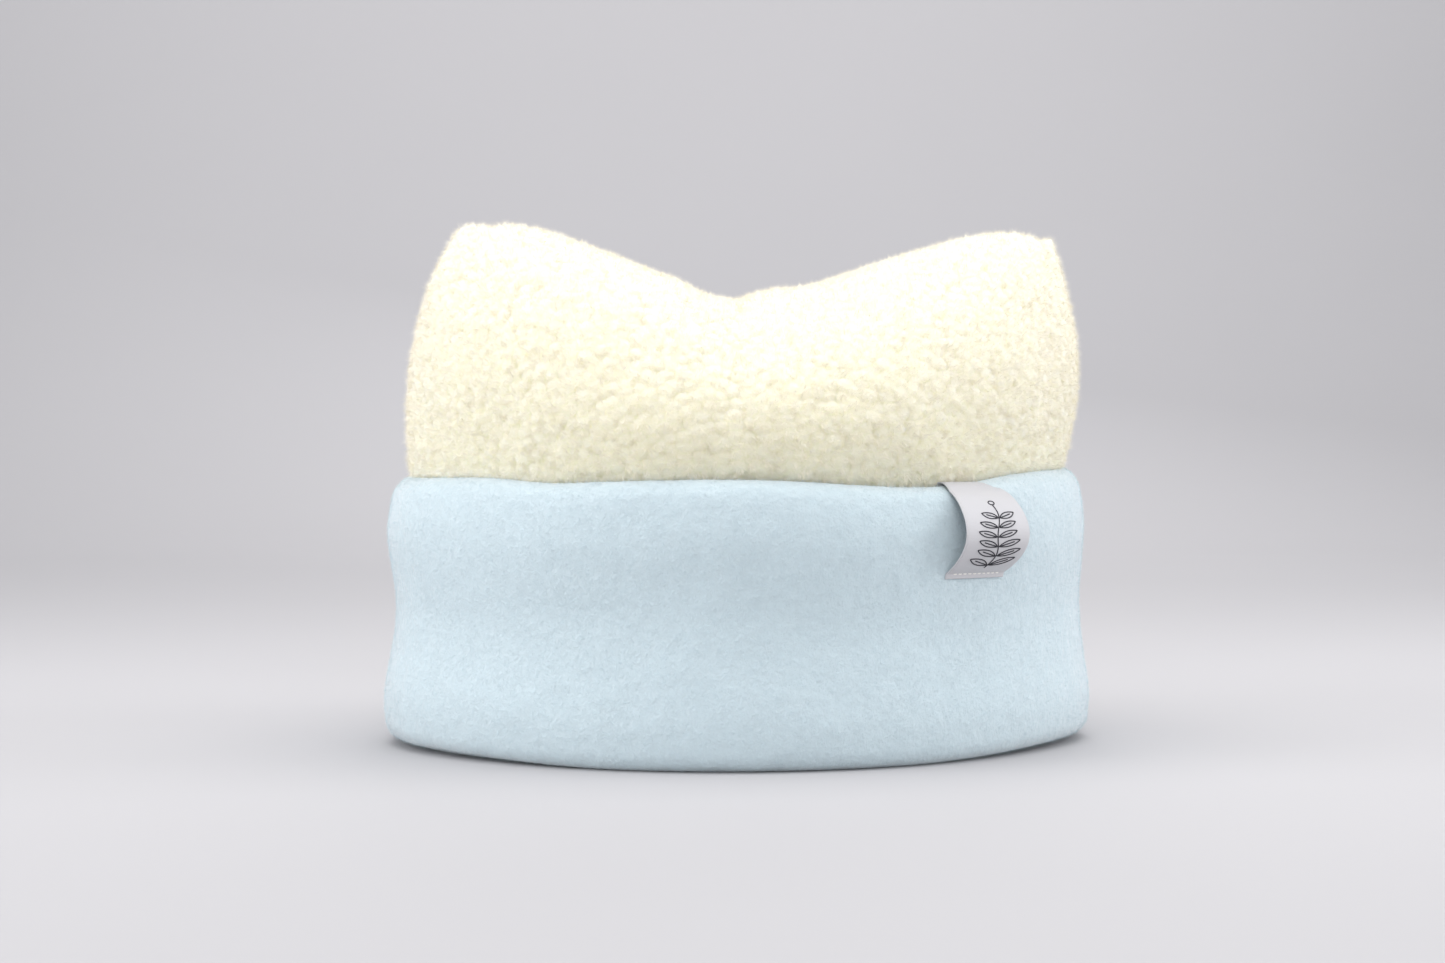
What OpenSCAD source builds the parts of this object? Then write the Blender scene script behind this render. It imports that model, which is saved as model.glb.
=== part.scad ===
// Fleece hat with a two-eared sherpa crown and a broad turned-up cuff.
// Frame: the hat stands on the plane z = 0 with its opening down.
// The origin is under the middle of the cuff, the front faces -Y and the ears stand along X.

/* [Cuff] */
// Width of the turned-up cuff, side to side
cuff_width = 240; // [200:1:290]
// Depth of the turned-up cuff, front to back
cuff_depth = 175; // [145:1:210]
// Height of the turned-up cuff
cuff_height = 88; // [60:1:110]
// Thickness of one layer of the cuff's fleece
cuff_fleece = 3.6; // [2.5:0.1:5]
// Slit left between the two layers of the folded band
cuff_slit = 0.6; // [0.3:0.1:1.5]
// Radius of the turn at the bottom of the cuff
cuff_turn_radius = 6; // [3:0.5:7]
// Room between the cuff and the crown, where the label's back leg hides
cuff_ease = 1.2; // [1.1:0.1:4]

/* [Crown] */
// Height of the left ear above the table
left_ear_height = 178; // [145:0.5:215]
// Height of the right ear above the table
right_ear_height = 177; // [145:0.5:215]
// Height of the top seam in the dip between the ears
dip_height = 150.5; // [125:0.5:185]
// Distance between the outer corners of the two ears
ear_span = 203; // [165:1:225]
// Length of the level top of each ear
ear_top = 28; // [15:1:40]
// Length over which the outer corner of each ear is rounded
ear_corner = 9; // [4:1:16]
// Height that the rounding takes off the outer corner of each ear
ear_corner_drop = 6; // [3:1:10]
// How far the crown's top leans to the right of the cuff's middle
crown_lean = 8.5; // [0:0.5:10]
// How far the dip lies to the left of the crown's top middle
dip_shift = 7; // [0:0.5:12]
// How far the crown's sides swell out between the cuff and the ears
crown_fullness = 6; // [0:0.5:12]
// How far the crown's front and back swell out over the cuff
crown_overhang = 5; // [0:0.5:7]
// Thickness of the sherpa shell
shell_thickness = 5; // [3:0.5:8]
// Thickness of the fleece lining
lining_thickness = 3; // [2:0.5:5]
// Clearance between two layers of cloth that lie together
layer_gap = 0.3; // [0.2:0.1:1]

/* [Seams] */
// Thickness of the stitched seam between two crown panels
seam_thickness = 1.2; // [0.8:0.1:2]
// Clearance on each side of a seam
seam_gap = 0.1; // [0.05:0.05:0.3]
// How far a seam lies below the outer face of its cloth
seam_sink = 1; // [0.5:0.1:1.5]
// Height of the overlocked seam around the inside of the brim
brim_seam_height = 12; // [10:1:20]
// Thickness of the overlocked seam around the inside of the brim
brim_seam_thickness = 1; // [0.6:0.1:2]

/* [Label] */
// Width of the folded label
label_width = 25; // [15:1:40]
// Height of the label's visible front leg, from the top of the cuff
label_drop = 30; // [20:1:45]
// Thickness of the woven label
label_thickness = 0.6; // [0.4:0.1:0.8]
// Clearance between the label and the cuff
label_gap = 0.15; // [0.1:0.05:0.2]
// Place of the label around the front of the cuff, in degrees to the right
label_angle = 30; // [0:1:34]
// Length of one stitch
stitch_length = 1.4; // [1:0.1:2]
// Distance from one stitch to the next
stitch_pitch = 2; // [1.5:0.1:3]
// Thickness of the sewing thread
thread_thickness = 0.5; // [0.3:0.1:0.7]
// Distance of the stitching from the label's lower end and sides
stitch_margin = 2; // [1.5:0.5:4]

/* [Hidden] */
$fn = 128;
tiny = 0.01;
slack = 1;            // how far a cutting solid runs past what it cuts
fine_arc = 720;       // facets of a full turn where a thin piece follows a wide arc

sherpa_colour = [0.93, 0.92, 0.84];
lining_colour = [0.80, 0.87, 0.91];
cuff_colour = [0.76, 0.85, 0.89];
thread_colour = [0.95, 0.95, 0.94];
label_colour = [0.93, 0.93, 0.94];

// The oval is four arcs. The ends turn about (+-end_centre, 0), the front and back about (0, +-side_centre).
// The centres form a 3-4-5 triangle, so the arcs meet smoothly where the slope is 3 in 4.
oval_unit = (cuff_width - cuff_depth) / 4;
end_centre = 4 * oval_unit;
side_centre = 3 * oval_unit;
end_radius = cuff_width / 2 - end_centre;
side_radius = cuff_depth / 2 + side_centre;
end_sweep = atan2(3, 4);
side_sweep = 90 - end_sweep;

// Depths below the cuff's outer face, from the outside in.
band_thickness = 2 * cuff_fleece + cuff_slit;
shell_inset = band_thickness + cuff_ease;
lining_inset = shell_inset + shell_thickness + layer_gap;
cavity_inset = lining_inset + lining_thickness;
brim_seam_inset = cavity_inset + seam_gap;

// Heights of the crown's lower edge and of the level where it starts to close.
crown_foot = band_thickness + layer_gap;
crown_bend = cuff_height + 2;
fold_radius = band_thickness / 2;
panel_gap = seam_thickness / 2 + seam_gap;

// Grid of a crown panel: steps around an end, around the front and up the closing part.
end_steps = 6;
side_steps = 26;
rise_steps = 12;
dip_softness = 0.05;  // how round the bottom of the dip is
ear_softness = 0.16;  // how round the bend is where an ear's level top starts

// Directions of the panel's columns, from the left side seam (-90) to the right one (90).
panel_angles = concat(
  [for (i = [0 : end_steps - 1]) -90 + i * end_sweep / end_steps],
  [for (i = [0 : side_steps]) -side_sweep + i * 2 * side_sweep / side_steps],
  [for (i = [1 : end_steps]) side_sweep + i * end_sweep / end_steps]
);

// Point of the front half of the oval, inset from the cuff's outer face, facing angle degrees right of -Y.
function oval(angle, inset) =
  abs(angle) <= side_sweep
  ? [(side_radius - inset) * sin(angle), side_centre - (side_radius - inset) * cos(angle)]
  : [sign(angle) * end_centre + (end_radius - inset) * sin(angle),
     -(end_radius - inset) * cos(angle)];

// Rounded forms of abs() and min(), each off the sharp form by up to its softness.
function soft_abs(v, softness) = sqrt(v ^ 2 + softness ^ 2) - softness;
function soft_min(a, b, softness) = (a + b - sqrt((a - b) ^ 2 + softness ^ 2)) / 2;

// Top seam. s is a share of the crown's half width, -1 at the left corner and 1 at the right one.
// The seam climbs evenly from the dip to where the ear's level top starts, then its corner drops.
function from_dip(s) =
  let (x = s * ear_span / 2 + dip_shift)
  x / (ear_span / 2 + (x < 0 ? -dip_shift : dip_shift));
function climb(s) = soft_min(soft_abs(from_dip(s), dip_softness) / (1 - 2 * ear_top / ear_span), 1, ear_softness);
function corner_share(s) = min(1, max(0, 1 - (1 - abs(s)) * ear_span / 2 / ear_corner));
function corner_drop(s) = ear_corner_drop * (1 - sqrt(1 - corner_share(s) ^ 2));
function ear_height(s) = from_dip(s) < 0 ? left_ear_height : right_ear_height;
function seam_height(s) = dip_height + (ear_height(s) - dip_height) * climb(s) - corner_drop(s);

// Point of the panel at a column and a share t of the way from the bend (0) to the top seam (1).
// The depth is a share of the oval's, so that it always ends at the seam with its gap.
function panel_width(inset) = cuff_width / 2 - inset;
function top_width(depth) = ear_span / 2 - depth;
function panel_share(angle, inset) = oval(angle, inset).x / panel_width(inset);
function side_swell(t) = crown_fullness * sin(180 * t ^ 0.6) ^ 2;
function front_swell(t) = crown_overhang * sin(180 * t ^ 0.55) ^ 2;
function panel_x(angle, t, inset, depth) =
  let (s = panel_share(angle, inset), closing = t ^ 0.9)
  s * ((1 - closing) * panel_width(inset) + closing * top_width(depth) + side_swell(t))
  + crown_lean * t ^ 0.8;
function panel_y(angle, t, inset) =
  let (reach = cuff_depth / 2 - inset)
  -(panel_gap + (-oval(angle, inset).y / reach) * ((reach - panel_gap) * cos(90 * t) + front_swell(t)));
function panel_z(angle, t, inset, depth) =
  crown_bend + (seam_height(panel_share(angle, inset)) - depth - crown_bend) * sin(90 * t);

// A column from the crown's foot up to the top seam. depth is how far this face lies below the outer one.
function panel_column(angle, inset, depth) = concat(
  [[panel_x(angle, 0, inset, depth), panel_y(angle, 0, inset), crown_foot]],
  [for (i = [0 : rise_steps]) let (t = i / rise_steps)
    [panel_x(angle, t, inset, depth), panel_y(angle, t, inset), panel_z(angle, t, inset, depth)]]
);

// A face of the panel as one list of points, column after column.
function panel_face(inset, depth) = [for (angle = panel_angles) each panel_column(angle, inset, depth)];

// A crown panel: an outer and an inner face, joined along the foot, the sides and the top.
module crown_panel(inset, depth, thickness) {
  rows = rise_steps + 2;
  columns = len(panel_angles);
  points = concat(panel_face(inset, depth), panel_face(inset + thickness, depth + thickness));
  inner = rows * columns;
  function at(c, r) = c * rows + r;
  outer_faces = [for (c = [0 : columns - 2], r = [0 : rows - 2])
    each [[at(c, r), at(c, r + 1), at(c + 1, r + 1)], [at(c, r), at(c + 1, r + 1), at(c + 1, r)]]];
  inner_faces = [for (f = outer_faces) [f[2] + inner, f[1] + inner, f[0] + inner]];
  rim = concat(
    [for (r = [0 : rows - 1]) at(0, r)],
    [for (c = [1 : columns - 1]) at(c, rows - 1)],
    [for (r = [rows - 2 : -1 : 0]) at(columns - 1, r)],
    [for (c = [columns - 2 : -1 : 1]) at(c, 0)]
  );
  rim_faces = [for (i = [0 : len(rim) - 1]) let (a = rim[i], b = rim[(i + 1) % len(rim)])
    each [[b, a, a + inner], [b, a + inner, b + inner]]];
  polyhedron(points, concat(outer_faces, inner_faces, rim_faces));
}

// Outlines of a crown seam in the XZ plane, with the panel's own edges.
function side_line(side, inset, depth) = [for (p = panel_column(90 * side, inset, depth)) [p.x, p.z]];
function top_line(inset, depth) = [for (angle = panel_angles)
  [panel_x(angle, 1, inset, depth), panel_z(angle, 1, inset, depth)]];
function reversed(list) = [for (i = [len(list) - 1 : -1 : 0]) list[i]];

module flat_seam(outline) {
  rotate([90, 0, 0])
    linear_extrude(seam_thickness, center = true)
      polygon(outline);
}

// The side seam runs up to the corner and stops a seam gap below the top seam's end.
module side_seam(side, inset, depth, thickness) {
  outer = side_line(side, inset + seam_sink, depth + seam_sink);
  inner = side_line(side, inset + thickness, depth + thickness);
  corner = len(outer) - 1;
  function below(points) = [for (i = [0 : corner]) points[i] - [0, i == corner ? seam_gap : 0]];
  flat_seam(concat(below(outer), reversed(below(inner))));
}

module top_seam(inset, depth, thickness) {
  outer = top_line(inset + seam_sink, depth + seam_sink);
  inner = top_line(inset + thickness, depth + thickness);
  flat_seam(concat(outer, reversed(inner)));
}

// Sweeps a section around the oval. In the section, x = 0 is the cuff's outer face and x < 0 is inwards.
// Each arc is a ring cut to a wedge whose sides lie on the lines through the arcs' centres.
module around_oval() {
  for (side = [-1, 1]) {
    arc_wedge([side * end_centre, 0], end_radius, [side * 4, 3], [side * 4, -3]) children();
    arc_wedge([0, -side * side_centre], side_radius, [4, side * 3], [-4, side * 3]) children();
  }
}

module arc_wedge(centre, radius, from, to) {
  reach = cuff_width / 4;
  intersection() {
    translate(centre)
      rotate_extrude()
        translate([radius, 0])
          children();
    translate([0, 0, -slack])
      linear_extrude(cuff_height + 2 * slack)
        polygon([centre, centre + reach * from, centre + reach * to]);
  }
}

// Sweeps a section along the front of the oval, over a length centred on the label's place.
module along_front(length, shift = 0) {
  sweep = length / side_radius * 180 / PI;
  place = label_angle + shift / side_radius * 180 / PI;
  translate([0, side_centre, 0])
    rotate([0, 0, -90 + place - sweep / 2])
      rotate_extrude(angle = sweep, $fn = fine_arc)
        translate([side_radius, 0])
          children();
}

// Section of the folded band: up the outside, over the fold and down again, then under the crown's foot.
module cuff_section(sink = 0) {
  fold_height = cuff_height - fold_radius;
  difference() {
    union() {
      translate([-cavity_inset, sink])
        square([cavity_inset - cuff_turn_radius, band_thickness - sink]);
      translate([-band_thickness + sink, cuff_turn_radius])
        square([band_thickness - 2 * sink, fold_height - cuff_turn_radius]);
      intersection() {
        translate([-cuff_turn_radius, cuff_turn_radius])
          circle(cuff_turn_radius - sink);
        translate([-cuff_turn_radius, 0])
          square(cuff_turn_radius);
      }
      translate([-fold_radius, fold_height])
        circle(fold_radius - sink);
    }
    translate([-cavity_inset - slack, cuff_fleece])
      square([cavity_inset + slack - cuff_fleece, cuff_slit]);
    translate([-cuff_fleece - cuff_slit, cuff_fleece])
      square([cuff_slit, fold_height - cuff_fleece]);
  }
}

module shell_front() {
  color(sherpa_colour) crown_panel(shell_inset, 0, shell_thickness);
}

module shell_back() {
  color(sherpa_colour) mirror([0, 1, 0]) crown_panel(shell_inset, 0, shell_thickness);
}

module shell_top_seam() {
  color(thread_colour) top_seam(shell_inset, 0, shell_thickness);
}

module shell_side_seam_left() {
  color(thread_colour) side_seam(-1, shell_inset, 0, shell_thickness);
}

module shell_side_seam_right() {
  color(thread_colour) side_seam(1, shell_inset, 0, shell_thickness);
}

lining_depth = shell_thickness + layer_gap;

module lining_front() {
  color(lining_colour) crown_panel(lining_inset, lining_depth, lining_thickness);
}

module lining_back() {
  color(lining_colour) mirror([0, 1, 0]) crown_panel(lining_inset, lining_depth, lining_thickness);
}

module lining_top_seam() {
  color(thread_colour) top_seam(lining_inset, lining_depth, lining_thickness);
}

module lining_side_seam_left() {
  color(thread_colour) side_seam(-1, lining_inset, lining_depth, lining_thickness);
}

module lining_side_seam_right() {
  color(thread_colour) side_seam(1, lining_inset, lining_depth, lining_thickness);
}

// The band is one strip, so its ends meet in a seam at the middle of the back.
module cuff_band() {
  slot = 2 * panel_gap;
  color(cuff_colour)
    difference() {
      around_oval() cuff_section();
      translate([-slot / 2, 0, -slack])
        cube([slot, cuff_depth, cuff_height + 2 * slack]);
    }
}

module cuff_back_seam() {
  color(thread_colour)
    translate([0, cuff_depth / 2, 0])
      rotate([90, 0, 90])
        linear_extrude(seam_thickness, center = true)
          cuff_section(seam_sink);
}

// Overlocked thread over the band's raw edges and the lining's lower edge.
module brim_seam() {
  foot = crown_foot - brim_seam_height / 2;
  color(thread_colour)
    around_oval()
      translate([-brim_seam_inset - brim_seam_thickness, foot])
        square([brim_seam_thickness, brim_seam_height]);
}

// The label is folded over the top of the cuff, with its back leg between the cuff and the crown.
module label() {
  rise = cuff_height - fold_radius;
  foot = cuff_height - label_drop;
  inner = fold_radius + label_gap;
  color(label_colour)
    along_front(label_width)
      union() {
        translate([label_gap, foot])
          square([label_thickness, rise - foot]);
        translate([-band_thickness - label_gap - label_thickness, foot])
          square([label_thickness, rise - foot]);
        translate([-fold_radius, rise])
          intersection() {
            difference() {
              circle(inner + label_thickness);
              circle(inner);
            }
            translate([-2 * inner, 0])
              square([4 * inner, 2 * inner]);
          }
      }
}

// Stitches that lie on the label near its lower end, joined by the thinner thread between them.
module label_stitching() {
  row_height = cuff_height - label_drop + stitch_margin;
  row_length = label_width - 2 * stitch_margin;
  face = label_gap + label_thickness + tiny;
  stitches = floor(row_length / stitch_pitch);
  run = (stitches - 1) * stitch_pitch;
  color(thread_colour)
    union() {
      along_front(run)
        translate([face + thread_thickness / 8, row_height - thread_thickness / 4])
          square([thread_thickness / 4, thread_thickness / 2]);
      for (i = [0 : stitches - 1])
        along_front(stitch_length, (i - (stitches - 1) / 2) * stitch_pitch)
          translate([face, row_height - thread_thickness / 2])
            square(thread_thickness);
    }
}

shell_front();
shell_back();
shell_top_seam();
shell_side_seam_left();
shell_side_seam_right();
lining_front();
lining_back();
lining_top_seam();
lining_side_seam_left();
lining_side_seam_right();
cuff_band();
cuff_back_seam();
brim_seam();
label();
label_stitching();
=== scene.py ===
import math

import bpy
import numpy as np
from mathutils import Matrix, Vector, kdtree, noise


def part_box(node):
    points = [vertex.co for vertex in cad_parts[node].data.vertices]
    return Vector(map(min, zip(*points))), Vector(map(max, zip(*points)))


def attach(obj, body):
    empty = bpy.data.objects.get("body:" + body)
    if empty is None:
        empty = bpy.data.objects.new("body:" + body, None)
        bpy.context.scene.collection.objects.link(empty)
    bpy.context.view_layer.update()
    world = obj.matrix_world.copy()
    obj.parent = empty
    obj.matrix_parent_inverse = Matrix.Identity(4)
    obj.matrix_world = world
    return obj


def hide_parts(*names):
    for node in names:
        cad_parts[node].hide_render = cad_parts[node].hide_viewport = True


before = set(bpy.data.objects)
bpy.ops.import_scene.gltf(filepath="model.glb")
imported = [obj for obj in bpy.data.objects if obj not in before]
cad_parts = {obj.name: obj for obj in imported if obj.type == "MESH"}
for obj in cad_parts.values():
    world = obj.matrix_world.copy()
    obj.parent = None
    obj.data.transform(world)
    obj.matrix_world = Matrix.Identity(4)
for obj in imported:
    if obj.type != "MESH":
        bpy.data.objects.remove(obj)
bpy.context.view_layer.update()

bl_info = {
    "name": "Eared Fleece Hat",
    "version": (1, 0, 0),
    "blender": (4, 5, 0),
    "location": "View3D > Sidebar > Fleece Hat",
    "description": "Sews a sherpa hat with two ears and a turned-up fleece cuff over its packed frame",
    "category": "Object",
}

MM = 0.001


def span(node):
    """Lowest and highest corner of a node of the frame, in millimetres."""
    low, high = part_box(node)
    return np.array(low) / MM, np.array(high) / MM


def points_of(node):
    """All the points of a node of the frame, in millimetres."""
    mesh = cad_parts[node].data
    points = np.empty(len(mesh.vertices) * 3)
    mesh.vertices.foreach_get("co", points)
    return points.reshape(-1, 3) / MM


def foot_depth(node):
    """How far the lowest edge of a crown panel reaches from the middle plane."""
    points = points_of(node)
    return np.abs(points[points[:, 2] < points[:, 2].min() + 0.5][:, 1]).max()


# Plan of the cuff: an oval of four arcs whose centres form 3-4-5 triangles.
HALF_WIDTH, HALF_DEPTH, CUFF_HEIGHT = span("cuff_band")[1]
OVAL_UNIT = (HALF_WIDTH - HALF_DEPTH) / 2
END_CENTRE, SIDE_CENTRE = 4 * OVAL_UNIT, 3 * OVAL_UNIT
END_RADIUS, SIDE_RADIUS = HALF_WIDTH - END_CENTRE, HALF_DEPTH + SIDE_CENTRE
SIDE_SWEEP = math.atan2(4, 3)

# Layers of cloth, as depths below the cuff's outer face.
CROWN_FOOT = span("shell_front")[0][2]
SHELL_INSET = HALF_DEPTH - foot_depth("shell_front")
LINING_INSET = HALF_DEPTH - foot_depth("lining_front")
BRIM_SEAM_LOW, BRIM_SEAM_HIGH = span("brim_seam")
CAVITY_INSET = HALF_WIDTH - BRIM_SEAM_HIGH[0] - 0.1
LAYER_GAP = 0.3
SHELL_THICKNESS = LINING_INSET - SHELL_INSET - LAYER_GAP
LINING_THICKNESS = CAVITY_INSET - LINING_INSET

# Crown: where it starts to close, and the outline of its top seam.
CROWN_BEND = CUFF_HEIGHT + 2
SEAM_SINK = 1.0
PANEL_GAP = 0.2
PILE_ALLOWANCE = 0.9     # how far the loose pile stands above the knitted face along the top
PAINTED_SHADE_TOP = 0.135       # height in metres below which painted shade tints the sherpa greener and deeper, most at the cuff
CORNER_STUFFING = 2.2    # how much thicker each ear's corner is for the seams inside it
DIP_FOLDS = ((2.3, 17, 9), (-1.1, -9, 7), (-1.4, 1, 4))    # rise, place past the dip and reach
TOP_SEAM_LOW, TOP_SEAM_HIGH = span("shell_top_seam")
TOP_MIDDLE = (TOP_SEAM_LOW[0] + TOP_SEAM_HIGH[0]) / 2
TOP_HALF = (TOP_SEAM_HIGH[0] - TOP_SEAM_LOW[0]) / 2 + SEAM_SINK

# Label and its stitching.
LABEL_FOOT = span("label")[0][2]
STITCH_LOW, STITCH_HIGH = span("label_stitching")


def hump(value, middle, reach):
    """A round hump of height 1 about its middle."""
    return np.exp(-((value - middle) / reach) ** 2)


def blurred(values, reach):
    """A row of values smoothed over about reach neighbours each way."""
    soft = np.exp(-((np.arange(-30, 31) / reach) ** 2))
    return np.convolve(np.pad(values, 30, mode="edge"), soft / soft.sum(), mode="valid")


def top_outline():
    """Height of the top seam against the share of the crown's half width, from -1 to 1."""
    points = points_of("shell_top_seam")
    places = np.unique(points[:, 0].round(1))
    tops = np.array([points[np.abs(points[:, 0] - x) < 0.3][:, 2].max() for x in places])
    keep = np.concatenate([[True], np.diff(places) > 0.35])
    share = (places[keep] - TOP_MIDDLE) / (TOP_HALF - SEAM_SINK)
    order = np.argsort(share)
    even = np.linspace(-1, 1, 401)
    height = np.interp(even, share[order], tops[keep][order]) + SEAM_SINK
    middle_reach, ear_reach, ears_from, ears_over = 14, 5, 0.65, 0.15
    in_ears = np.clip((np.abs(even) - ears_from) / ears_over, 0, 1)
    height = blurred(height, middle_reach) * (1 - in_ears) + blurred(height, ear_reach) * in_ears
    past_dip = (even - even[np.argmin(height)]) * TOP_HALF
    for rise, place, reach in DIP_FOLDS:
        height += rise * hump(past_dip, place, reach)
    return even, height - PILE_ALLOWANCE


OUTLINE_SHARE, OUTLINE_HEIGHT = top_outline()


# ---------------------------------------------------------------- sizes and colours


def a_length(name, description, default):
    """A size that is kept in metres; its default is given in millimetres."""
    return bpy.props.FloatProperty(name=name, description=description, default=default * MM, unit="LENGTH")


def a_colour(name, description, default):
    return bpy.props.FloatVectorProperty(name=name, description=description, subtype="COLOR", default=default)


class HatSizes(bpy.types.PropertyGroup):
    """Sizes of the cloth that a user may change"""

    nub_spacing: a_length("Nub spacing", "Distance from one curl of the sherpa to the next", 3.7)
    nub_relief: bpy.props.FloatProperty(
        name="Nub relief", description="How strongly the curls stand up, as a share of round balls",
        default=0.38, min=0.0)
    pile_length: a_length("Pile length", "Length of the loose fibres on the sherpa", 1.9)
    pile_fibres: bpy.props.IntProperty(
        name="Pile fibres", description="Loose fibres on each crown panel", default=190000)
    nap_length: a_length("Nap length", "Length of the brushed fibres on the cuff", 1.1)
    nap_fibres: bpy.props.IntProperty(
        name="Nap fibres", description="Brushed fibres on each half of the cuff", default=190000)
    fleece: a_length("Fleece thickness", "Thickness of one layer of the cuff's fleece", 3.6)
    cuff_waist: a_length("Cuff waist", "How far the cuff draws in half way up", 2.6)
    side_swell: a_length("Side swell", "How far the crown's sides swell out", 6)
    front_swell: a_length("Front swell", "How far the crown's front and back hang over the cuff", 5)
    label_width: a_length("Label width", "Width of the folded label", 25)
    label_bulge: a_length("Label bulge", "How far the label stands off the cuff", 8.0)
    stitch_pitch: a_length("Stitch pitch", "Distance from one stitch to the next", 2)


class HatColours(bpy.types.PropertyGroup):
    """Colours of the cloth that a user may change"""

    sherpa: a_colour("Sherpa", "Colour of the curls", (0.86, 0.815, 0.70))
    # Painted shade: the darker, greener tint painted deep between the curls and, with random patches, low on
    # the crown
    sherpa_shade: a_colour("Sherpa creases", "Colour deep between the curls", (0.80, 0.805, 0.59))
    cuff: a_colour("Cuff fleece", "Colour of the cuff", (0.60, 0.703, 0.745))
    lining: a_colour("Lining fleece", "Colour of the lining", (0.60, 0.74, 0.80))
    thread: a_colour("Thread", "Colour of the seams' thread", (0.84, 0.83, 0.78))
    label: a_colour("Label", "Colour of the woven label", (0.53, 0.525, 0.545))
    motif: a_colour("Motif", "Colour of the label's woven lines", (0.02, 0.02, 0.025))
    floor: a_colour("Sweep", "Colour of the table and of the backdrop that rises from it",
                    (0.46, 0.452, 0.464))


def sizes():
    return bpy.context.scene.hat_sizes


def colours():
    return bpy.context.scene.hat_colours


# ---------------------------------------------------------------- shader tools


class Value:
    """A socket whose arithmetic adds Math nodes to its finish."""

    def __init__(self, finish, socket):
        self.finish = finish
        self.socket = socket

    def math(self, operation, *values):
        return self.finish.add("ShaderNodeMath", {"operation": operation}, dict(enumerate(values)))

    def __add__(self, other):
        return self.math("ADD", self, other)

    def __radd__(self, other):
        return self.math("ADD", other, self)

    def __sub__(self, other):
        return self.math("SUBTRACT", self, other)

    def __rsub__(self, other):
        return self.math("SUBTRACT", other, self)

    def __mul__(self, other):
        return self.math("MULTIPLY", self, other)

    def __truediv__(self, other):
        return self.math("DIVIDE", self, other)


class Finish:
    """A material that is built node by node."""

    def __init__(self, name):
        self.material = bpy.data.materials.new(name)
        self.material.use_nodes = True
        self.tree = self.material.node_tree
        self.tree.nodes.clear()
        self.output = self.tree.nodes.new("ShaderNodeOutputMaterial")

    def add(self, kind, settings=None, inputs=None, output=0):
        """Adds a node: its settings first, then the values or links of its sockets."""
        node = self.tree.nodes.new(kind)
        for name, value in (settings or {}).items():
            setattr(node, name, value)
        for key, value in (inputs or {}).items():
            if isinstance(value, Value):
                self.tree.links.new(value.socket, node.inputs[key])
            else:
                node.inputs[key].default_value = value
        return Value(self, node.outputs[output])

    def place(self):
        """The point on the object, in metres."""
        return self.add("ShaderNodeTexCoord", output="Object")

    def height(self):
        """Height above the table, in metres."""
        return self.add("ShaderNodeSeparateXYZ", None, {"Vector": self.place()}, output="Z")

    def noise(self, scale, detail=2.0, roughness=0.5, stretch=None, distortion=0.0):
        """Fractal noise from 0 to 1, with scale as features to the metre."""
        place = self.place()
        if stretch:
            place = self.add("ShaderNodeMapping", None, {"Vector": place, "Scale": stretch})
        return self.add("ShaderNodeTexNoise", None, {
            "Vector": place, "Scale": scale, "Detail": detail, "Roughness": roughness,
            "Distortion": distortion}, output="Fac")

    def attribute(self, name):
        return self.add("ShaderNodeAttribute", {"attribute_name": name}, output="Fac")

    def mix(self, factor, first, second):
        """Mixes two colours."""
        node = self.tree.nodes.new("ShaderNodeMix")
        node.data_type = "RGBA"
        node.clamp_factor = True
        for socket, value in zip((node.inputs[0], node.inputs[6], node.inputs[7]), (factor, first, second)):
            if isinstance(value, Value):
                self.tree.links.new(value.socket, socket)
            else:
                socket.default_value = value
        return Value(self, node.outputs[2])

    def bump(self, height, strength, distance):
        return self.add("ShaderNodeBump", None, {
            "Height": height, "Strength": strength, "Distance": distance}, output="Normal")

    def close(self, **inputs):
        """Puts the surface on the output and returns the material."""
        names = {name.replace("_", " ").title().replace("Ior", "IOR"): value
                 for name, value in inputs.items()}
        surface = self.add("ShaderNodeBsdfPrincipled", None, names, output="BSDF")
        self.tree.links.new(surface.socket, self.output.inputs["Surface"])
        return self.material


def rgba(colour, factor=1.0):
    return (*(min(1.0, channel * factor) for channel in colour), 1.0)


def once(maker):
    """Keeps the material that a maker returns, so that every piece shares it."""
    kept = []

    def wrapper():
        if not kept:
            kept.append(maker())
        return kept[0]

    return wrapper


@once
def sherpa_finish():
    finish = Finish("curly sherpa")
    c = colours()
    crease_shade = finish.attribute("crease_shade")
    patchy = finish.noise(22.0, 2.0)
    curl = finish.noise(900.0, 3.0, 0.6)
    # Painted shade: the creases between the curls take the darker, greener shade colour
    tint = finish.mix(crease_shade, rgba(c.sherpa), rgba(c.sherpa_shade))
    # Painted shade: the lower crown takes a greener, deeper tint towards the cuff, mixed with random patches
    # of that tint
    low = (PAINTED_SHADE_TOP - finish.height()) / (PAINTED_SHADE_TOP - CUFF_HEIGHT * MM)
    tint = finish.mix(patchy * 0.3 + low * 0.45, tint, rgba(c.sherpa_shade, 1.06))
    tint = finish.mix(curl * 0.25, tint, rgba(c.sherpa, 1.06))
    return finish.close(
        base_color=tint, roughness=0.9 + curl * 0.08, normal=finish.bump(curl, 0.35, 0.0006),
        specular_ior_level=0.1, sheen_weight=0.4, sheen_roughness=0.5, sheen_tint=(1.0, 1.0, 0.95, 1.0),
        subsurface_weight=0.85, subsurface_radius=(1.0, 0.95, 0.75), subsurface_scale=0.006)


def fibre_finish(name, colour, scale, darkest, palest, sheen, sheen_roughness):
    """Loose fibres whose shade drifts between two shares of their cloth's colour."""
    finish = Finish(name)
    tint = finish.mix(finish.noise(scale, 1.0), rgba(colour, darkest), rgba(colour, palest))
    return finish.close(base_color=tint, roughness=0.9, specular_ior_level=0.1, sheen_weight=sheen,
                        sheen_roughness=sheen_roughness)


@once
def sherpa_fibre_finish():
    return fibre_finish("loose sherpa fibre", colours().sherpa, 300.0, 1.0, 1.08, 0.4, 0.5)


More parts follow.
